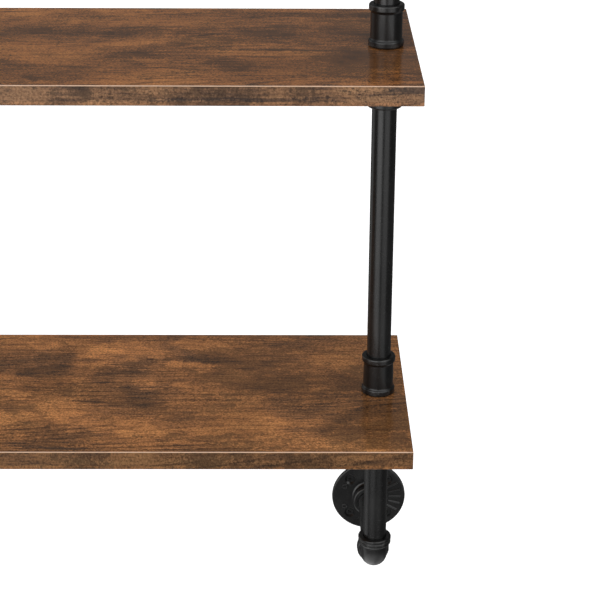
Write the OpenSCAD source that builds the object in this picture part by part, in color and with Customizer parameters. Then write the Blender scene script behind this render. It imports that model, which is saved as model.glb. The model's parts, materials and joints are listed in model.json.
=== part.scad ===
// Wall-mounted pipe shelf: two laminated boards carried by two columns of threaded pipe.
// X runs along the boards, +Y points into the wall and +Z points up.
// The origin lies on the wall plane, midway between the columns and between the flanges.

/* [Boards] */
// Length of each board along the wall
board_w = 610; // [400:1:1200]
// Depth of each board, from its front edge to its back edge
board_d = 250; // [200:1:300]
// Thickness of each board
board_t = 16.8; // [12:0.1:25]
// Thickness of the edge bands glued round each board
band_t = 1; // [0.4:0.1:2]
// Clear height between the two boards
bay_h = 309.2; // [150:0.1:450]
// Gap between a board's back edge and the wall
wall_gap = 1; // [1:0.5:20]
// Distance from the end of a board to the axis of its column
column_inset = 25; // [22:1:60]
// Distance from the front edge of a board to the axis of its columns
column_setback = 123; // [100:1:150]

/* [Pipe] */
// Outside diameter of the pipe
pipe_od = 21.7; // [21.2:0.1:22]
// Wall thickness of the pipe
pipe_wall = 2.3; // [2:0.1:2.6]
// Pitch of the pipe thread
thread_pitch = 1.814; // [1.5:0.001:2]
// Number of threads screwed into a fitting
thread_turns = 6; // [4:1:6]
// Distance from a wall flange's centre to the face of the board next to it
end_reach = 160.5; // [120:0.1:260]

/* [Fittings] */
// Length of a coupling
coupling_len = 37; // [32:1:44]
// Outside diameter of the beads on the fittings
bead_od = 30.4; // [29:0.1:31]
// Outside diameter of a coupling between its beads
coupling_od = 27.2; // [26:0.1:28]
// Outside diameter of an elbow's bend
elbow_od = 25; // [25:0.1:27]
// Distance from an elbow's centre to each of its mouths
elbow_reach = 26.5; // [26.5:0.1:32]
// Radius of an elbow's bend, on its centre line
bend_r = 16; // [15:0.1:16]

/* [Wall flange] */
// Diameter of a wall flange's plate
flange_od = 73.8; // [70:0.1:90]
// Thickness of a wall flange's plate
flange_t = 4; // [3:0.5:6]
// Height of a wall flange's hub above the wall
hub_h = 16; // [15:0.5:22]
// Diameter of the circle that the screw holes lie on
screw_pcd = 53; // [50:0.5:60]
// Diameter of a screw hole
screw_hole_d = 5.5; // [4:0.1:6]

/* [Hidden] */
$fn = 64;
SIDES = ["left", "right"];
ENDS = ["lower", "upper"];
BANDS = ["front", "back", "left", "right"];
FITTINGS = [
    "wall_flange", "wall_nipple", "elbow", "riser",
    "under_coupling", "through_nipple", "top_coupling"
];

// Colours
board_colour = "#74523a";
band_colour = "#6b4d38";
pipe_colour = "#2b2b2b";
fitting_colour = "#242424";

// Overlap that keeps a cut or a union clear of a shared face
eps = 0.5;

// Places
column_x = board_w / 2 - column_inset;
column_y = -wall_gap - board_d + column_setback;
board_mid_y = -wall_gap - board_d / 2;
flange_z = bay_h / 2 + board_t + end_reach;

// Pipe threads are rings, with a little clearance between a pipe and its socket
pipe_r = pipe_od / 2;
thread_r = pipe_r - 0.45;
thread_depth = 1.1;
thread_clearance = 0.1;
thread_len = thread_turns * thread_pitch;
socket_r = thread_r + thread_clearance;

// The mouth of every fitting is recessed, and the pipe's shoulder seats in it
mouth_r = pipe_r + 0.45;
mouth_depth = 1.5;
socket_depth = mouth_depth + thread_len + 0.8;

// The nipple through a board is threaded all along
through_turns = round((board_t + 2 * (mouth_depth + thread_len)) / thread_pitch);
through_len = through_turns * thread_pitch;
board_hole_r = pipe_r + 0.2;

// Beads and blends of the castings
bead_h = 6.2;
bead_round = 1.6;
bead_flare = 2;
elbow_bead_r = bead_od / 2 + 0.3;
elbow_ring_h = 4;
elbow_ring_round = 1.3;
elbow_ring_step = 0.2;
elbow_flare = 2.4;
elbow_cavity_r = 9.2;
hub_bead_r = bead_od / 2 + 0.55;
hub_bead_h = 5.5;
hub_r = 14;
hub_foot_r = 3;
plate_round = 1.4;

// Screw holes, and the plain cast ribs and rings between them
screw_count = 4;
countersink_d = 11;
rib_count = 5;
rib_step = 14;
rib_len = 12;
rib_round = 1.2;
rib_h = 0.9;
boss_ring_r = 2.1;
boss_ring_round = 0.7;
boss_turn = 25;

// --- 2D sections, with the axis of revolution at x = 0 ---

// A band whose two outer corners are rounded
module rounded_band(r, h, round_r) {
    square([r - round_r, h]);
    translate([0, round_r]) square([r, h - 2 * round_r]);
    for (z = [round_r, h - round_r])
        translate([r - round_r, z]) circle(round_r);
}

// A bead at a mouth, which blends into the body above it along an S-shaped flare
module flared_bead(r, h, round_r, body_r, flare_r) {
    dx = body_r + flare_r - r + round_r;
    flare_z = h - round_r + sqrt(pow(round_r + flare_r, 2) - dx * dx);
    rounded_band(r, h, round_r);
    difference() {
        polygon([
            [0, h - round_r], [r - round_r, h - round_r],
            [body_r + flare_r, flare_z], [0, flare_z]
        ]);
        translate([body_r + flare_r, flare_z]) circle(flare_r);
    }
}

// The rings of a thread: crest and root radii by turns, from a root at z0
function thread_rings(crest, root, z0, turns) = [
    for (i = [0 : turns - 1]) each [
        [root, z0 + i * thread_pitch],
        [crest, z0 + (i + 0.5) * thread_pitch]
    ]
];

// The space inside a mouth at z = 0, for a pipe screwed in upwards
module socket_section() {
    groove_r = socket_r + thread_depth;
    polygon(concat(
        [[0, -eps], [mouth_r, -eps], [mouth_r, mouth_depth]],
        thread_rings(groove_r, socket_r, mouth_depth, thread_turns),
        [[socket_r, mouth_depth + thread_len], [socket_r, socket_depth], [0, socket_depth]]
    ));
}

// --- Pipe ---

// A pipe along +Z: its plain part runs from z = 0 to len, with a threaded end beyond each
module pipe(len) {
    root_r = thread_r - thread_depth;
    bore_r = pipe_r - pipe_wall;
    color(pipe_colour) rotate_extrude() polygon(concat(
        [[bore_r, -thread_len]],
        thread_rings(thread_r, root_r, -thread_len, thread_turns),
        [[root_r, 0], [pipe_r, 0], [pipe_r, len]],
        thread_rings(thread_r, root_r, len, thread_turns),
        [[root_r, len + thread_len], [bore_r, len + thread_len]]
    ));
}

// The nipple that passes through a board, centred on z = 0
module through_nipple() {
    root_r = thread_r - thread_depth;
    bore_r = pipe_r - pipe_wall;
    color(pipe_colour) rotate_extrude() polygon(concat(
        [[bore_r, -through_len / 2]],
        thread_rings(thread_r, root_r, -through_len / 2, through_turns),
        [[root_r, through_len / 2], [bore_r, through_len / 2]]
    ));
}

// --- Fittings ---

// A beaded coupling, standing on z = 0
module coupling() {
    color(fitting_colour) rotate_extrude() difference() {
        union() {
            square([coupling_od / 2, coupling_len]);
            for (turned = [0, 1])
                translate([0, turned * coupling_len])
                    mirror([0, turned])
                        flared_bead(bead_od / 2, bead_h, bead_round, coupling_od / 2, bead_flare);
        }
        for (turned = [0, 1])
            translate([0, turned * coupling_len]) mirror([0, turned]) socket_section();
        translate([0, socket_depth - eps])
            square([socket_r, coupling_len - 2 * (socket_depth - eps)]);
    }
}

// One leg of an elbow, from its mouth at z = 0 up to where the bend starts
module elbow_leg() {
    leg_len = elbow_reach - bend_r;
    rotate_extrude() {
        rounded_band(elbow_bead_r, elbow_ring_h, elbow_ring_round);
        translate([0, elbow_ring_h - eps])
            flared_bead(elbow_bead_r - elbow_ring_step, elbow_ring_h + eps, elbow_ring_round,
                elbow_od / 2, elbow_flare);
        square([elbow_od / 2, leg_len]);
    }
}

// A quarter turn round the point (0, bend_r, bend_r), in the plane x = 0
module bend(r) {
    translate([0, bend_r, bend_r])
        rotate([0, -90, 0])
            rotate([0, 0, 180])
                rotate_extrude(angle = 90)
                    translate([bend_r, 0]) circle(r);
}

// An elbow centred on the origin, with one mouth towards +Z and the other towards +Y
module elbow() {
    color(fitting_colour) difference() {
        union() {
            bend(elbow_od / 2);
            translate([0, 0, elbow_reach]) mirror([0, 0, 1]) elbow_leg();
            translate([0, elbow_reach, 0]) rotate([90, 0, 0]) elbow_leg();
        }
        bend(elbow_cavity_r);
        translate([0, 0, elbow_reach])
            mirror([0, 0, 1]) rotate_extrude() socket_section();
        translate([0, elbow_reach, 0])
            rotate([90, 0, 0]) rotate_extrude() socket_section();
    }
}

// The plate and hub of a wall flange, turned about +Z with its back on z = 0
module flange_body() {
    rotate_extrude() difference() {
        union() {
            rounded_band(flange_od / 2, flange_t, plate_round);
            square([flange_od / 2 - plate_round, plate_round]);
            square([hub_r, hub_h - bead_round]);
            translate([0, hub_h]) mirror([0, 1])
                flared_bead(hub_bead_r, hub_bead_h, bead_round, hub_r, bead_flare);
            difference() {
                translate([0, flange_t - eps]) square([hub_r + hub_foot_r, hub_foot_r + eps]);
                translate([hub_r + hub_foot_r, flange_t + hub_foot_r]) circle(hub_foot_r);
            }
        }
        translate([0, hub_h]) mirror([0, 1]) socket_section();
        translate([0, -eps]) square([socket_r, hub_h - socket_depth + 2 * eps]);
    }
}

// A countersunk screw hole along +Z through the plate
module screw_hole() {
    sink_h = (countersink_d - screw_hole_d) / 2;
    translate([0, 0, -eps]) cylinder(d = screw_hole_d, h = flange_t + 2 * eps);
    translate([0, 0, flange_t - sink_h]) cylinder(d1 = screw_hole_d, d2 = countersink_d, h = sink_h);
    translate([0, 0, flange_t]) cylinder(d = countersink_d, h = eps);
}

// Plain raised marks of the casting: a fan of round ribs on one side and two small rings on the other
module cast_marks() {
    mark_r = screw_pcd / 2;
    for (i = [0 : rib_count - 1])
        rotate([0, 0, (i - (rib_count - 1) / 2) * rib_step])
            translate([mark_r - rib_len / 2, 0, flange_t + rib_h - rib_round])
                rotate([0, 90, 0]) cylinder(r = rib_round, h = rib_len);
    for (turn = [180 - boss_turn, 180 + boss_turn])
        rotate([0, 0, turn])
            translate([mark_r, 0, flange_t])
                rotate_extrude() translate([boss_ring_r, 0]) circle(boss_ring_round);
}

// A wall flange with its back on y = 0 and its hub towards -Y
module wall_flange() {
    color(fitting_colour) rotate([90, 0, 0]) difference() {
        union() {
            flange_body();
            cast_marks();
        }
        for (i = [0 : screw_count - 1])
            rotate([0, 0, 45 + i * 360 / screw_count])
                translate([screw_pcd / 2, 0, 0]) screw_hole();
    }
}

// --- Boards ---

// A board's core with its top face on z = 0, inside the edge bands
module shelf_board() {
    color(board_colour) difference() {
        translate([-board_w / 2 + band_t, -wall_gap - board_d + band_t, -board_t])
            cube([board_w - 2 * band_t, board_d - 2 * band_t, board_t]);
        for (x = [-column_x, column_x])
            translate([x, column_y, -board_t - eps])
                cylinder(r = board_hole_r, h = board_t + 2 * eps);
    }
}

// A flat band along +X with its glued back on y = 0, its outer arrises eased, and its top on z = 0
module edge_band(len) {
    ease_r = band_t / 2;
    color(band_colour) translate([-len / 2, 0, -board_t])
        rotate([90, 0, 90]) linear_extrude(len) {
            translate([-band_t + ease_r, 0]) square([band_t - ease_r, board_t]);
            translate([-band_t, ease_r]) square([band_t, board_t - 2 * ease_r]);
            for (z = [ease_r, board_t - ease_r])
                translate([-band_t + ease_r, z]) circle(ease_r);
        }
}

// The long bands cover the ends of the short ones
module placed_band(band) {
    short_len = board_d - 2 * band_t;
    if (band == "front")
        translate([0, -wall_gap - board_d + band_t, 0]) edge_band(board_w);
    if (band == "back")
        translate([0, -wall_gap - band_t, 0]) rotate([0, 0, 180]) edge_band(board_w);
    if (band == "left")
        translate([-board_w / 2 + band_t, board_mid_y, 0]) rotate([0, 0, -90]) edge_band(short_len);
    if (band == "right")
        translate([board_w / 2 - band_t, board_mid_y, 0]) rotate([0, 0, 90]) edge_band(short_len);
}

// --- Assembly ---

function side_x(side) = side == "left" ? -column_x : column_x;
function board_top_z(end) = end == "lower" ? -bay_h / 2 : bay_h / 2 + board_t;

// Puts a piece on the axis of one column
module on_column(side) {
    translate([side_x(side), column_y, 0]) children();
}

// Turns a piece made for the lower end of a column to the upper end
module at_end(end) {
    rotate([0, end == "upper" ? 180 : 0, 0]) children();
}

// The riser between an elbow and the coupling next to it
module end_riser() {
    low_z = -flange_z + elbow_reach - mouth_depth;
    high_z = -bay_h / 2 - board_t - coupling_len + mouth_depth;
    translate([0, 0, low_z]) pipe(high_z - low_z);
}

// The riser between the couplings inside the bay
module middle_riser() {
    high_z = bay_h / 2 - coupling_len + mouth_depth;
    translate([0, 0, -high_z]) pipe(2 * high_z);
}

// The nipple between an elbow and the hub of its wall flange, along Y
module wall_nipple() {
    near_y = -hub_h + mouth_depth;
    far_y = column_y + elbow_reach - mouth_depth;
    translate([0, near_y - column_y, 0]) rotate([90, 0, 0]) pipe(near_y - far_y);
}

for (end = ENDS) {
    translate([0, 0, board_top_z(end)]) shelf_board();
    for (band = BANDS)
        translate([0, 0, board_top_z(end)]) placed_band(band);
}

for (side = SIDES) {
    for (end = ENDS) {
        flange_level = end == "lower" ? -flange_z : flange_z;
        translate([side_x(side), 0, flange_level]) wall_flange();
        on_column(side) translate([0, 0, flange_level]) wall_nipple();
        on_column(side) at_end(end) translate([0, 0, -flange_z]) elbow();
        on_column(side) at_end(end) end_riser();
        on_column(side) translate([0, 0, board_top_z(end) - board_t - coupling_len]) coupling();
        on_column(side) translate([0, 0, board_top_z(end) - board_t / 2]) through_nipple();
        on_column(side) translate([0, 0, board_top_z(end)]) coupling();
    }
    on_column(side) middle_riser();
}
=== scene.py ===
"""Looks of the wall-mounted pipe shelf: laminated boards, black pipe and castings, studio and camera."""

import json
import math

import bmesh
import bpy
from mathutils import Matrix, Vector


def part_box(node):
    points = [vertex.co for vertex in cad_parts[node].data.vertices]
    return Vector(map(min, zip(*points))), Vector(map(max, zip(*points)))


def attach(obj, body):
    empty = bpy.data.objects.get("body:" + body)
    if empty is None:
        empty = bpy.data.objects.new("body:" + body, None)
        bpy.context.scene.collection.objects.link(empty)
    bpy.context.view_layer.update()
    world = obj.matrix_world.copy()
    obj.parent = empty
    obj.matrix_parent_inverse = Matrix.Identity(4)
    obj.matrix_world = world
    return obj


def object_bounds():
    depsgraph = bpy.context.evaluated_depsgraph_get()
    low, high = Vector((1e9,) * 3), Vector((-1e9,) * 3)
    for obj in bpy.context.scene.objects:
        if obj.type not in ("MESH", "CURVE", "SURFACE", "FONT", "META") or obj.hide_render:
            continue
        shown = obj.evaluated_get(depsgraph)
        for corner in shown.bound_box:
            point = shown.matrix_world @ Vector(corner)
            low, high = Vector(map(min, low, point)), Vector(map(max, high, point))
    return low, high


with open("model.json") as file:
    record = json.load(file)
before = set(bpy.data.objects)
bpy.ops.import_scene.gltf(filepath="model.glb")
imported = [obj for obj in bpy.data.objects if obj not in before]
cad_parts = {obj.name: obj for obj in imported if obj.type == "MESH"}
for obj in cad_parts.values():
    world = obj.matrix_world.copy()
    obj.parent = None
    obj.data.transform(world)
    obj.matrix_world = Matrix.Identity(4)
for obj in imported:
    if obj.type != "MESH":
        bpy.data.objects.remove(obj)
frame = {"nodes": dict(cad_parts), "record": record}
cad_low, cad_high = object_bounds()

MM = 0.001
NODES = frame["nodes"]
LEVELS = ("lower", "upper")
COLUMN_X = sum((corner.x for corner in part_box("right_middle_riser")), 0.0) / 2
COLUMN_Y = sum((corner.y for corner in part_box("right_middle_riser")), 0.0) / 2

# ---------------------------------------------------------------- node helpers


def node(tree, kind, inputs=None, **settings):
    """Adds a node, sets its properties, and links or sets its inputs."""
    made = tree.nodes.new(kind)
    for name, value in settings.items():
        setattr(made, name, value)
    for key, value in (inputs or {}).items():
        if isinstance(value, bpy.types.NodeSocket):
            tree.links.new(value, made.inputs[key])
        else:
            made.inputs[key].default_value = value
    return made


def math_node(tree, operation, *values, clamp=False):
    """One Math node; returns its output."""
    inputs = dict(enumerate(values))
    return node(tree, "ShaderNodeMath", inputs, operation=operation, use_clamp=clamp).outputs[0]


def smooth_step(tree, value, low, high, start=0.0, end=1.0):
    """Runs smoothly from start to end while value goes from low to high."""
    inputs = {"Value": value, "From Min": low, "From Max": high, "To Min": start, "To Max": end}
    made = node(tree, "ShaderNodeMapRange", inputs, interpolation_type="SMOOTHSTEP")
    return made.outputs["Result"]


def blend_colour(tree, factor, first, second, mode="MIX"):
    """Mixes two colours and returns the result."""
    made = node(tree, "ShaderNodeMix", data_type="RGBA", blend_type=mode)
    for index, value in ((0, factor), (6, first), (7, second)):
        if isinstance(value, bpy.types.NodeSocket):
            tree.links.new(value, made.inputs[index])
        else:
            made.inputs[index].default_value = value
    return made.outputs[2]


def brighten(tree, colour, gain):
    """Multiplies a colour by one value."""
    grey = node(tree, "ShaderNodeCombineXYZ", {0: gain, 1: gain, 2: gain}).outputs[0]
    return blend_colour(tree, 1.0, colour, grey, "MULTIPLY")


def noise(tree, coords, scale, detail=2.0, roughness=0.5, distortion=0.0, shift=(0, 0, 0)):
    """Noise whose cells are stretched: scale is in cells per metre along X, Y and Z."""
    placed = node(tree, "ShaderNodeMapping", {"Vector": coords, "Location": shift, "Scale": scale})
    inputs = {"Vector": placed.outputs[0], "Scale": 1.0, "Detail": detail,
              "Roughness": roughness, "Distortion": distortion}
    return node(tree, "ShaderNodeTexNoise", inputs).outputs[0]


def colour_ramp(tree, value, stops):
    """A colour ramp through (position, colour) stops."""
    made = node(tree, "ShaderNodeValToRGB", {"Fac": value})
    elements = made.color_ramp.elements
    while len(elements) > 1:
        elements.remove(elements[-1])
    elements[0].position, elements[0].color = stops[0]
    for position, colour in stops[1:]:
        elements.new(position).color = colour
    return made.outputs[0]


def srgb(red, green, blue):
    """A colour given as 0 to 255 sRGB values, as Blender's linear colour."""
    def linear(value):
        value = value / 255
        return value / 12.92 if value <= 0.04045 else ((value + 0.055) / 1.055) ** 2.4
    return (linear(red), linear(green), linear(blue), 1.0)


def new_material(name):
    """An empty material with a Principled shader; returns the material, its tree and the shader."""
    material = bpy.data.materials.new(name)
    material.use_nodes = True
    tree = material.node_tree
    tree.nodes.clear()
    shader = node(tree, "ShaderNodeBsdfPrincipled")
    output = node(tree, "ShaderNodeOutputMaterial")
    tree.links.new(shader.outputs[0], output.inputs["Surface"])
    return material, tree, shader


def paint(material, names):
    """Gives CAD nodes one material."""
    for name in names:
        mesh = NODES[name].data
        mesh.materials.clear()
        mesh.materials.append(material)


# ---------------------------------------------------------------- wood laminate

DARK, DUSK, BROWN, AMBER, LIGHT = (
    srgb(60, 47, 37), srgb(92, 66, 45), srgb(133, 91, 57), srgb(165, 111, 66), srgb(190, 131, 78))
# What the dark fibres, rings and soot leave of the ground's colour
FIBRE, RING, SOOT = (0.34, 0.38, 0.46, 1), (0.30, 0.33, 0.40, 1), (0.34, 0.37, 0.42, 1)

# Tints per shelf, partly painted light: the lower board is painted lighter than the upper for the light each
# gets, the bands along X are painted much darker than the board tops as painted shade on their upright faces,
# and the upper band is greyer as a painted reflection
BOARD_TINT_AND_PAINTED_LIGHT = {"lower": (1.34, 1.31, 1.27, 1), "upper": (1.02, 0.93, 0.84, 1)}
BAND_TINT_AND_PAINTED_LIGHT = {"lower": (0.39, 0.43, 0.51, 1), "upper": (0.52, 0.63, 0.92, 1)}
SIDE_TINT = (0.85, 0.83, 0.80, 1)
# Where the print is sootier (above 0) or clearer (below 0): x, distance from the front edge,
# half length and half width in mm, strength. The sooty patches round and in front of the right coupling (x
# near 280) are partly the print's dark zone, partly painted shade and a painted reflection of the black
# coupling
MARKS = {
    "lower": [
        (3, 239, 70, 12, 0.3), (-17, 195, 22, 36, 0.35), (110, 193, 40, 8, 0.9), (172, 155, 58, 38, 1.0),
        (0, 163, 70, 10, 0.6), (-35, 162, 22, 12, 0.6), (15, 125, 50, 13, 0.9), (-46, 87, 18, 13, 1.1),
        (45, 99, 42, 15, 0.6), (225, 93, 48, 22, 0.7), (265, 23, 42, 22, 0.9), (120, 29, 40, 7, 0.8),
        (-15, 33, 30, 32, 0.45), (180, 210, 40, 16, 0.5), (278, 145, 42, 50, 0.85),
        (130, 5, 140, 8, 0.6), (272, 70, 50, 62, 0.9),
        (35, 205, 42, 26, -0.8), (108, 230, 28, 12, -0.9), (100, 179, 26, 10, -0.8), (85, 133, 45, 8, -0.6),
        (55, 47, 32, 14, -0.9), (165, 57, 28, 18, -0.9), (5, 60, 20, 22, -0.8),
        (-50, 110, 12, 10, -0.5), (250, 195, 40, 15, -0.3)],
    "upper": [
        (127, 233, 28, 12, 0.3), (123, 136, 30, 24, 0.6), (150, 63, 24, 24, 0.5), (233, 33, 34, 14, 0.7),
        (-33, 173, 22, 12, 0.4), (8, 145, 18, 10, 0.4), (240, 90, 32, 20, 0.3), (180, 167, 30, 34, 0.4),
        (68, 95, 14, 9, 0.5), (12, 20, 24, 9, 0.4), (95, 169, 60, 6, 0.4), (190, 106, 50, 5, 0.5),
        (0, 55, 45, 6, 0.3), (280, 70, 45, 60, 1.0), (275, 195, 50, 60, 0.9),
        (-40, 235, 22, 14, -1.0), (60, 197, 60, 10, -0.7), (20, 133, 22, 18, -0.6), (90, 70, 26, 10, -0.8),
        (60, 127, 28, 9, -0.6), (200, 91, 30, 8, -0.5), (150, 8, 160, 9, -0.9), (100, 241, 200, 9, -0.5)],
}
# Broad light (above 0) and dark patches, as a gain on the print's colour; the dark ones round and in front of
# the right coupling (x near 280) are partly painted shade and a painted reflection of the coupling
TONES = {
    "lower": [
        (60, 200, 55, 38, 0.36), (-35, 200, 12, 36, 0.3), (265, 200, 45, 40, -0.15), (-22, 132, 26, 28, -0.3),
        (58, 132, 26, 28, 0.3), (225, 132, 75, 32, -0.3), (15, 55, 20, 40, 0.15), (155, 55, 28, 44, -0.28),
        (278, 52, 42, 50, -0.4)],
    "upper": [
        (185, 200, 20, 36, 0.2), (115, 200, 22, 36, -0.12), (292, 200, 14, 40, -0.17), (8, 132, 18, 28, 0.13),
        (85, 132, 14, 26, 0.2), (130, 132, 22, 28, -0.17), (188, 132, 16, 26, 0.17), (285, 132, 24, 34, -0.4),
        (220, 55, 90, 44, -0.24)],
}
# The sooty patches along the front edges: x, half length in mm, strength
EDGE_MARKS = [(140, 30, 0.6), (210, 18, 0.6), (30, 12, 0.3), (-25, 30, -0.5), (66, 28, -0.4), (177, 10, -0.2),
              (278, 30, -0.1)]

# The front band's painted highlight along its top arris, and the lighter strip along its bottom: (full, gone)
# distances in mm
ARRIS_BACK, ARRIS_DOWN, STRIP_UP = (0.7, 0.85), (0.55, 0.75), (3.0, 3.8)
# Colour of the painted highlight along the front band's top arris
ARRIS_HIGHLIGHT_COLOUR = srgb(205, 172, 146)
STRIP_GAIN = (1.25, 1.17, 1.08, 1)


def print_coords(tree, shift, along):
    """Object coordinates for the print, turned so that its grain runs along X or Y, and a wavy copy."""
    plain = node(tree, "ShaderNodeTexCoord").outputs["Object"]
    apart = node(tree, "ShaderNodeSeparateXYZ", {0: plain})
    first, second = ("X", "Y") if along == "X" else ("Y", "X")
    turned = node(tree, "ShaderNodeCombineXYZ", {
        0: apart.outputs[first], 1: apart.outputs[second], 2: apart.outputs["Z"]})
    moved = node(tree, "ShaderNodeMapping", {"Vector": turned.outputs[0], "Location": shift}).outputs[0]
    wander = noise(tree, moved, (3.0, 8, 8), 2, 0.5)
    offset = math_node(tree, "MULTIPLY_ADD", wander, 0.04, -0.02)
    wavy = node(tree, "ShaderNodeVectorMath", {
        0: moved, 1: node(tree, "ShaderNodeCombineXYZ", {1: offset, 2: offset}).outputs[0]})
    return plain, moved, wavy.outputs[0]


def patches(tree, plain, spots):
    """Ragged ellipses in plan, summed: each spot is x, y, half length, half width (mm) and strength."""
    frayed = node(tree, "ShaderNodeTexNoise", {
        "Vector": plain, "Scale": 45.0, "Detail": 4.0, "Roughness": 0.65})
    offset = node(tree, "ShaderNodeVectorMath", {
        0: frayed.outputs["Color"], 1: (-0.5, -0.5, -0.5)}, operation="ADD")
    offset = node(tree, "ShaderNodeVectorMath", {
        0: offset.outputs[0], 1: (0.09, 0.05, 0)}, operation="MULTIPLY")
    plain = node(tree, "ShaderNodeVectorMath", {0: plain, 1: offset.outputs[0]}).outputs[0]
    total = 0.0
    for x, y, half_x, half_y, strength in spots:
        placed = node(tree, "ShaderNodeMapping", {
            "Vector": plain, "Location": (-x / half_x, -y / half_y, 0),
            "Scale": (1 / (half_x * MM), 1 / (half_y * MM), 0)})
        distance = node(tree, "ShaderNodeVectorMath", {0: placed.outputs[0]}, operation="LENGTH")
        spot = smooth_step(tree, distance.outputs["Value"], 1.3, 0.6, 0.0, strength)
        total = math_node(tree, "ADD", total, spot)
    return math_node(tree, "MINIMUM", total, 1.0)


def wood_print(tree, moved, wavy, soot_level, marks=0.0):
    """Rustic wood print, sootier where marks is high; returns its colour, its fibres and its relief."""
    speck = noise(tree, moved, (360, 420, 420), 2, 0.75)
    pepper = noise(tree, moved, (560, 480, 480), 1, 0.6, shift=(4, 6, 1))
    scuff = noise(tree, wavy, (70, 120, 120), 3, 0.7, shift=(9, 7, 0))
    grain = noise(tree, wavy, (22, 360, 360), 4, 0.75, shift=(3, 1, 0))
    cloud = noise(tree, wavy, (10, 16, 16), 3, 0.6, shift=(8, 3, 0))

    # warm ground: light clouds and fibres along the grain
    value = math_node(tree, "MULTIPLY_ADD", cloud, 0.45, 0.05)
    value = math_node(tree, "MULTIPLY_ADD", grain, 0.40, math_node(tree, "SUBTRACT", value, 0.025))
    value = math_node(tree, "MULTIPLY_ADD", scuff, 0.20, value)
    value = math_node(tree, "MULTIPLY_ADD", math_node(tree, "MINIMUM", marks, 0.2), -0.045, value)
    colour = colour_ramp(tree, value, [
        (0.42, DUSK), (0.49, BROWN), (0.55, AMBER), (0.64, LIGHT)])

    # fine dark fibres and pepper specks
    fibre = smooth_step(tree, math_node(tree, "MULTIPLY_ADD", grain, 0.8, speck), 0.86, 0.70)
    colour = blend_colour(tree, math_node(tree, "MULTIPLY", fibre, 0.8), colour, FIBRE, "MULTIPLY")

    # contour lines of a slow field make the long annual rings
    field = noise(tree, wavy, (1.1, 10, 10), 1, 0.4, shift=(11, 5, 0))
    phase = math_node(tree, "SINE", math_node(tree, "MULTIPLY", field, 230.0))
    ring = smooth_step(tree, math_node(tree, "MULTIPLY_ADD", speck, 2.0, phase), 1.2, 2.1)
    ring_patch = smooth_step(tree, noise(tree, wavy, (5, 14, 14), 2, 0.5, shift=(2, 8, 0)), 0.47, 0.60)
    ring = math_node(tree, "MULTIPLY", math_node(tree, "MULTIPLY", ring, ring_patch), 0.7)
    colour = blend_colour(tree, ring, colour, RING, "MULTIPLY")

    # sooty blotches that break up into specks and short fibres
    soot = noise(tree, wavy, (9, 14, 14), 6, 0.7, shift=(5, 13, 0))
    ragged = math_node(tree, "MULTIPLY_ADD", marks, 0.13, math_node(tree, "MULTIPLY_ADD", soot, 0.6, 0.20))
    ragged = math_node(tree, "MULTIPLY_ADD", speck, 0.70, ragged)
    ragged = math_node(tree, "MULTIPLY_ADD", scuff, 0.55, ragged)
    ragged = math_node(tree, "MULTIPLY_ADD", grain, 0.25, ragged)
    blotch = smooth_step(tree, ragged, soot_level + 0.12, soot_level + 0.26)
    colour = blend_colour(tree, math_node(tree, "MULTIPLY", blotch, 0.84), colour, SOOT, "MULTIPLY")

    # a few long dark cracks along the grain
    crack = noise(tree, wavy, (3.0, 110, 110), 3, 0.55, shift=(6, 2, 0))
    crack = math_node(tree, "MULTIPLY_ADD", speck, 0.14, crack)
    crack = math_node(tree, "MULTIPLY", smooth_step(tree, crack, 0.71, 0.77), 0.7)
    colour = blend_colour(tree, crack, colour, DARK)

    # the screen of the print
    dot = smooth_step(tree, pepper, 0.30, 0.70, 0.74, 1.26)
    relief = math_node(tree, "MULTIPLY_ADD", speck, 0.6, grain)
    return brighten(tree, colour, dot), grain, relief


def board_material(level, shift):
    """Printed rustic laminate with the grain along X, under a smooth satin film."""
    material, tree, shader = new_material("laminate_" + level)
    plain, moved, wavy = print_coords(tree, shift, "X")
    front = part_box(level + "_front_edge_band")[0].y / MM
    # The marks and tones also paint shade and the coupling's reflection round the right coupling
    marks, tones = (
        patches(tree, plain, [(x, front + inward, *others) for x, inward, *others in spots])
        for spots in (MARKS[level], TONES[level]))
    colour, grain, relief = wood_print(tree, moved, wavy, 1.10, marks)
    # The shelf's tint also paints light: the lower board lighter than the upper one
    colour = blend_colour(tree, 1.0, colour, BOARD_TINT_AND_PAINTED_LIGHT[level], "MULTIPLY")
    colour = brighten(tree, colour, math_node(tree, "ADD", tones, 1.0))
    tree.links.new(colour, shader.inputs["Base Color"])
    rough = math_node(tree, "MULTIPLY_ADD", grain, 0.12, 0.10)
    tree.links.new(rough, shader.inputs["Roughness"])
    bump = node(tree, "ShaderNodeBump", {"Strength": 0.06, "Distance": 0.0003, "Height": relief})
    tree.links.new(bump.outputs[0], shader.inputs["Normal"])
    return material


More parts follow.
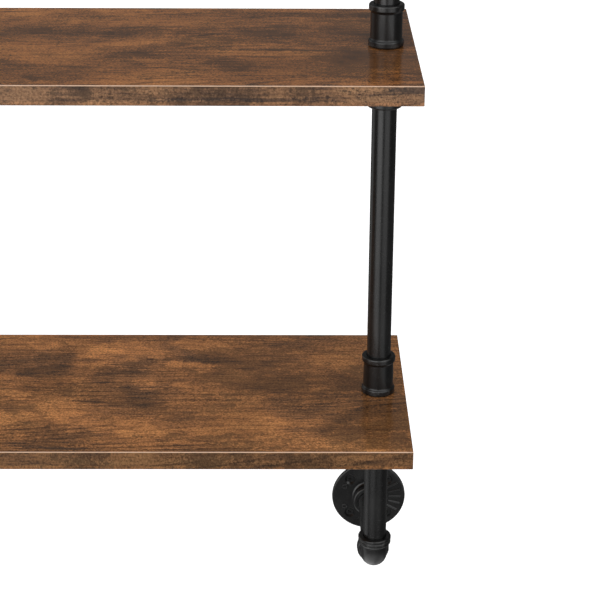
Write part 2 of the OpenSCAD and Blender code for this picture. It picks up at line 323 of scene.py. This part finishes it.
def band_material(level, shift, along, top, bottom):
    """Printed edge band, with a pale painted highlight along the front one's top arris."""
    material, tree, shader = new_material("edge_band_" + level + "_along_" + along)
    plain, moved, wavy = print_coords(tree, shift, along)
    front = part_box(level + "_front_edge_band")[0].y
    spots = [(x, front / MM, half, 60, strength) for x, half, strength in EDGE_MARKS]
    marks = patches(tree, plain, spots) if along == "X" else 0.0
    colour, grain, relief = wood_print(tree, moved, wavy, 1.08, marks)
    # The bands along X take a per-shelf tint that paints shade on their upright faces and, on the upper
    # shelf, a greyer painted reflection
    colour = blend_colour(tree, 1.0, colour, BAND_TINT_AND_PAINTED_LIGHT[level] if along == "X" else SIDE_TINT, "MULTIPLY")

    # Painted highlight: a pale line along the top front arris, broken up by the relief; then a lighter strip
    # along the bottom
    place = node(tree, "ShaderNodeSeparateXYZ", {0: plain})
    full, gone = (front + distance * MM for distance in ARRIS_BACK)
    near_front = smooth_step(tree, place.outputs["Y"], gone, full)
    highlight_break_up = math_node(tree, "MULTIPLY_ADD", relief, 0.4, 0.66)
    full, gone = (top - distance * MM for distance in ARRIS_DOWN)
    over = smooth_step(tree, place.outputs["Z"], gone, full)
    pale = math_node(tree, "MULTIPLY", math_node(tree, "MULTIPLY", over, near_front), highlight_break_up, clamp=True)
    full, gone = (bottom + distance * MM for distance in STRIP_UP)
    under = smooth_step(tree, place.outputs["Z"], gone, full)
    strip = math_node(tree, "MULTIPLY", under, near_front)
    colour = blend_colour(tree, strip, colour, STRIP_GAIN, "MULTIPLY")
    colour = blend_colour(tree, pale, colour, ARRIS_HIGHLIGHT_COLOUR)

    tree.links.new(colour, shader.inputs["Base Color"])
    tree.links.new(math_node(tree, "MULTIPLY_ADD", grain, 0.12, 0.16), shader.inputs["Roughness"])
    bump = node(tree, "ShaderNodeBump", {"Strength": 0.15, "Distance": 0.0003, "Height": relief})
    tree.links.new(bump.outputs[0], shader.inputs["Normal"])
    return material


# ---------------------------------------------------------------- black metal

def metal_material(name, grain, grain_depth, base, gloss, wear_radius):
    """Satin black coating; wear_radius is where a fitting's beads rub through to a greyer tone."""
    material, tree, shader = new_material(name)
    coords = node(tree, "ShaderNodeTexCoord").outputs["Object"]
    cloud = noise(tree, coords, (28, 28, 28), 3, 0.55)
    peel = noise(tree, coords, (grain,) * 3, 3, 0.6, shift=(2, 0, 5))
    fleck = noise(tree, coords, (900, 900, 900), 1, 0.5, shift=(7, 3, 1))

    dark = tuple(0.78 * channel for channel in base) + (1.0,)
    pale = tuple(1.25 * channel for channel in base) + (1.0,)
    colour = colour_ramp(tree, cloud, [(0.35, dark), (0.65, pale)])
    dust = math_node(tree, "MULTIPLY", smooth_step(tree, fleck, 0.62, 0.74), 0.25)
    colour = blend_colour(tree, dust, colour, (0.07, 0.068, 0.065, 1))

    # distance from the axis of the nearer column
    apart = node(tree, "ShaderNodeSeparateXYZ", {0: coords})
    aside = math_node(tree, "SUBTRACT", math_node(tree, "ABSOLUTE", apart.outputs["X"]), COLUMN_X)
    behind = math_node(tree, "SUBTRACT", apart.outputs["Y"], COLUMN_Y)
    radius = math_node(tree, "SQRT", math_node(
        tree, "ADD", math_node(tree, "POWER", aside, 2.0), math_node(tree, "POWER", behind, 2.0)))
    outer = math_node(tree, "MULTIPLY", smooth_step(tree, radius, wear_radius - 0.8 * MM, wear_radius),
                      smooth_step(tree, radius, wear_radius + 3 * MM, wear_radius + 1 * MM))
    scuff = smooth_step(tree, noise(tree, coords, (160, 160, 90), 4, 0.7, shift=(1, 9, 4)), 0.5, 0.66)
    wear = math_node(tree, "MULTIPLY", math_node(tree, "MULTIPLY", outer, scuff), 0.35)
    colour = blend_colour(tree, wear, colour, (0.085, 0.083, 0.08, 1))

    tree.links.new(colour, shader.inputs["Base Color"])
    tree.links.new(math_node(tree, "MULTIPLY_ADD", cloud, 0.16, gloss - 0.08), shader.inputs["Roughness"])
    bump = node(tree, "ShaderNodeBump", {"Strength": 0.5, "Distance": grain_depth, "Height": peel})
    tree.links.new(bump.outputs[0], shader.inputs["Normal"])
    return material


# ---------------------------------------------------------------- materials on the frame

for index, level in enumerate(LEVELS):
    low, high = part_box(level + "_shelf_board")
    drift = Vector((0.37, 0.21, 0.13)) * (index + 1)
    paint(board_material(level, drift), [level + "_shelf_board"])
    for along, sides in (("X", ("front", "back")), ("Y", ("left", "right"))):
        band_names = ["_".join((level, side, "edge_band")) for side in sides]
        paint(band_material(level, drift * 1.7, along, high.z, low.z), band_names)

PIPE_NAMES = [name for name in NODES if name.endswith(("riser", "nipple"))]
FITTING_NAMES = [name for name in NODES if name.endswith(("coupling", "elbow", "wall_flange"))]
BEAD_RADIUS = (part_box("right_lower_top_coupling")[1].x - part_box("right_lower_top_coupling")[0].x) / 2
NO_WEAR = 1.0        # a radius that nothing reaches
paint(metal_material("powder_coat", 1500, 0.00002, (0.006, 0.006, 0.006), 0.27, NO_WEAR), PIPE_NAMES)
paint(metal_material("coated_casting", 900, 0.00005, (0.0035, 0.0035, 0.0035), 0.30, BEAD_RADIUS),
      FITTING_NAMES)


def finish_shading(mesh, degrees):
    """Smooth faces, with edges sharper than the angle kept sharp."""
    mesh.shade_smooth()
    mesh.set_sharp_from_angle(angle=math.radians(degrees))


for name in NODES:
    finish_shading(NODES[name].data, 32)

# ---------------------------------------------------------------- wall screws

PLATE_T, HEAD_R, SHANK_R, HEAD_SUNK = 4.0, 3.7, 2.0, 1.6      # mm
HEAD_EDGE, TIP_SHORT = 0.15, 0.05                             # mm
RECESS_REACH, RECESS_HALF, RECESS_DEPTH = 2.1, 0.5, 1.4       # mm
SEGMENTS = 48
FIRST_HOLE = 45                                               # degrees
FIRST_TURN, TURN_STEP = 0.35, 1.1                             # radians, so that no two recesses line up


def ring(bm, radius, y):
    """A ring of points round the Y axis."""
    return [bm.verts.new((radius * math.cos(t), y, radius * math.sin(t)))
            for t in (2 * math.pi * i / SEGMENTS for i in range(SEGMENTS))]


def cross_ring(bm, scale, y, turn):
    """The twelve corners of a cross, scaled and turned."""
    corners = []
    for quarter in range(4):
        angle = turn + quarter * math.pi / 2
        for along, aside in ((RECESS_HALF, -RECESS_HALF), (RECESS_REACH, -RECESS_HALF),
                             (RECESS_REACH, RECESS_HALF)):
            along, aside = along * scale, aside * scale
            corners.append(bm.verts.new((along * math.cos(angle) - aside * math.sin(angle), y,
                                         along * math.sin(angle) + aside * math.cos(angle))))
    return corners


def bridge(bm, first, second):
    """Quads between two rings with the same number of points."""
    count = len(first)
    for i in range(count):
        bm.faces.new((first[i], first[(i + 1) % count], second[(i + 1) % count], second[i]))


def screw_mesh(turn):
    """A countersunk screw seated in a plate whose back is on Y = 0, in mm."""
    bm = bmesh.new()
    face_y = -PLATE_T + HEAD_SUNK
    edge_y = face_y + HEAD_EDGE
    rim = ring(bm, HEAD_R - HEAD_EDGE, face_y)
    edge = ring(bm, HEAD_R, edge_y)
    neck = ring(bm, SHANK_R, edge_y + HEAD_R - SHANK_R)
    tip = ring(bm, SHANK_R, -TIP_SHORT)
    bridge(bm, edge, rim)
    bridge(bm, neck, edge)
    bridge(bm, tip, neck)
    bm.faces.new(tip)
    mouth = cross_ring(bm, 1.0, face_y, turn)
    depth = cross_ring(bm, 0.45, face_y + RECESS_DEPTH, turn)
    bridge(bm, mouth, depth)
    bm.faces.new(depth)
    loops = []
    for loop in (rim, mouth):
        for i, vert in enumerate(loop):
            following = loop[(i + 1) % len(loop)]
            loops.append(bm.edges.get((vert, following)) or bm.edges.new((vert, following)))
    bmesh.ops.triangle_fill(bm, edges=loops, use_beauty=True)
    bmesh.ops.recalc_face_normals(bm, faces=bm.faces)
    return bm


screw_finish = metal_material("screw_black", 1200, 0.00003, (0.005, 0.005, 0.005), 0.30, NO_WEAR)
for mount in frame["record"]["mounts"]:
    if not mount["name"].endswith("_flange_holes"):
        continue
    whole = bmesh.new()
    radius = mount["dims"]["pcd_mm"] / 2
    for index in range(mount["dims"]["count"]):
        angle = math.radians(FIRST_HOLE + 360 / mount["dims"]["count"] * index)
        single = screw_mesh(FIRST_TURN + TURN_STEP * index)
        place = Matrix.Translation((radius * math.cos(angle), 0, radius * math.sin(angle)))
        bmesh.ops.transform(single, matrix=place, verts=single.verts)
        part = bpy.data.meshes.new("screw")
        single.to_mesh(part)
        single.free()
        whole.from_mesh(part)
        bpy.data.meshes.remove(part)
    centre = Vector((mount["pos_m"][0], 0, mount["pos_m"][2]))
    bmesh.ops.transform(whole, matrix=Matrix.Translation(centre) @ Matrix.Scale(MM, 4), verts=whole.verts)
    name = mount["name"].replace("flange_holes", "wall_screws")
    screws_mesh = bpy.data.meshes.new(name)
    whole.to_mesh(screws_mesh)
    whole.free()
    screws_mesh.materials.append(screw_finish)
    finish_shading(screws_mesh, 30)
    screws = bpy.data.objects.new(name, screws_mesh)
    bpy.context.scene.collection.objects.link(screws)
    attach(screws, "root")

# ---------------------------------------------------------------- stage

floor_mesh = bpy.data.meshes.new("floor")
FLOOR_HALF, FLOOR_DROP = 12.0, 0.55
floor_z = cad_low.z - FLOOR_DROP
floor_mesh.from_pydata(
    [(x * FLOOR_HALF, y * FLOOR_HALF, floor_z) for x, y in ((-1, -1), (1, -1), (1, 1), (-1, 1))],
    [], [(0, 1, 2, 3)])
floor = bpy.data.objects.new("floor", floor_mesh)
bpy.context.scene.collection.objects.link(floor)
floor_material, floor_tree, floor_shader = new_material("pale_floor")
floor_shader.inputs["Base Color"].default_value = (0.9, 0.9, 0.9, 1)
floor_shader.inputs["Roughness"].default_value = 0.9
floor_shader.inputs["Emission Color"].default_value = (1, 1, 1, 1)
floor_shader.inputs["Emission Strength"].default_value = 0.6
floor_mesh.materials.append(floor_material)
for ray in ("visible_diffuse", "visible_glossy", "visible_transmission", "visible_shadow"):
    setattr(floor, ray, False)

# ---------------------------------------------------------------- studio light


def studio_window(tree, value, low, high, soft):
    """1 between low and high, fading over soft on each side."""
    rise = smooth_step(tree, value, low - soft, low + soft)
    fall = smooth_step(tree, value, high - soft, high + soft, 1.0, 0.0)
    return math_node(tree, "MULTIPLY", rise, fall)


def softbox(tree, azimuth, elevation, sideways, upwards, soft, power):
    """A soft panel: sideways and upwards are its (from, to) angles in degrees."""
    across = studio_window(tree, azimuth, sideways[0], sideways[1], soft)
    along = studio_window(tree, elevation, upwards[0], upwards[1], soft * 2)
    return math_node(tree, "MULTIPLY", math_node(tree, "MULTIPLY", across, along), power)


world = bpy.data.worlds.new("studio")
bpy.context.scene.world = world
world.use_nodes = True
sky = world.node_tree
sky.nodes.clear()
direction = node(sky, "ShaderNodeSeparateXYZ", {0: node(sky, "ShaderNodeTexCoord").outputs["Generated"]})
to_degrees = 180 / math.pi
towards_camera = math_node(sky, "MULTIPLY", direction.outputs["Y"], -1.0)
azimuth = math_node(sky, "MULTIPLY", math_node(
    sky, "ARCTAN2", direction.outputs["X"], towards_camera), to_degrees)
elevation = math_node(sky, "MULTIPLY", math_node(sky, "ARCSINE", direction.outputs["Z"]), to_degrees)
ROOM, TOP_LIGHT, BACK_GLOW = 0.08, 0.35, 0.05
panels = [
    # sideways, upwards, softness, power: azimuth 0 is towards the camera, positive to its right
    ((-58, -13), (-21.5, 18), 3.5, 2.8),
    ((6, 52), (-21.5, 18), 3.5, 1.4),
    ((-134, -100), (-26, 30), 6.0, 0.6),
    ((-112, -76), (-44, -27), 4.0, 0.8),
    ((-14, -3), (-42, -8), 3.0, 0.2),
    ((-80, 80), (28, 52), 10.0, 2.9),
]
light = math_node(sky, "MULTIPLY", smooth_step(sky, elevation, 40, 75), TOP_LIGHT)
floor_glow = math_node(sky, "MULTIPLY", smooth_step(sky, elevation, -40, -56), smooth_step(
    sky, azimuth, -20, 60, 1.0, 0.45))
light = math_node(sky, "ADD", light, floor_glow)
back_glow = math_node(sky, "MULTIPLY", studio_window(sky, elevation, 6, 40, 6.0), smooth_step(
    sky, math_node(sky, "ABSOLUTE", azimuth), 105, 130, 0.0, BACK_GLOW))
light = math_node(sky, "ADD", light, back_glow)
for sideways, upwards, soft, power in panels:
    light = math_node(sky, "ADD", light, softbox(sky, azimuth, elevation, sideways, upwards, soft, power))
light = math_node(sky, "ADD", light, ROOM)
lit = node(sky, "ShaderNodeBackground", {"Color": (1, 1, 1, 1), "Strength": light})
plain_white = node(sky, "ShaderNodeBackground", {"Color": (1, 1, 1, 1), "Strength": 1.0})
seen = node(sky, "ShaderNodeMixShader", {
    0: node(sky, "ShaderNodeLightPath").outputs["Is Camera Ray"],
    1: lit.outputs[0], 2: plain_white.outputs[0]})
node(sky, "ShaderNodeOutputWorld", {"Surface": seen.outputs[0]})

# ---------------------------------------------------------------- camera

CAMERA_LENS = 114.68  # mm, on a 36 mm sensor
CAMERA_YAW, CAMERA_PITCH, CAMERA_ROLL = (math.radians(a) for a in (0.649, 22.764, 0.332))
# From the front right corner of the lower board's top
corner = Vector((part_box("lower_right_edge_band")[1].x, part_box("lower_front_edge_band")[0].y,
                 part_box("lower_shelf_board")[1].z))
CAMERA_OFFSET = Vector((-0.11503, -1.46401, 0.75625))

forward = Vector((math.sin(CAMERA_YAW) * math.cos(CAMERA_PITCH),
                  math.cos(CAMERA_YAW) * math.cos(CAMERA_PITCH), -math.sin(CAMERA_PITCH)))
level_right = Vector((math.cos(CAMERA_YAW), -math.sin(CAMERA_YAW), 0))
level_up = level_right.cross(forward)
right = level_right * math.cos(CAMERA_ROLL) + level_up * math.sin(CAMERA_ROLL)
up = level_up * math.cos(CAMERA_ROLL) - level_right * math.sin(CAMERA_ROLL)
camera_data = bpy.data.cameras.new("camera")
camera_data.lens = CAMERA_LENS
camera_data.sensor_width = 36.0
camera_data.clip_start, camera_data.clip_end = 0.05, 60.0
camera = bpy.data.objects.new("camera", camera_data)
bpy.context.scene.collection.objects.link(camera)
turn = Matrix((right, up, -forward)).transposed()
camera.matrix_world = Matrix.Translation(corner + CAMERA_OFFSET) @ turn.to_4x4()
bpy.context.scene.camera = camera
bpy.context.scene.view_settings.view_transform = "Standard"
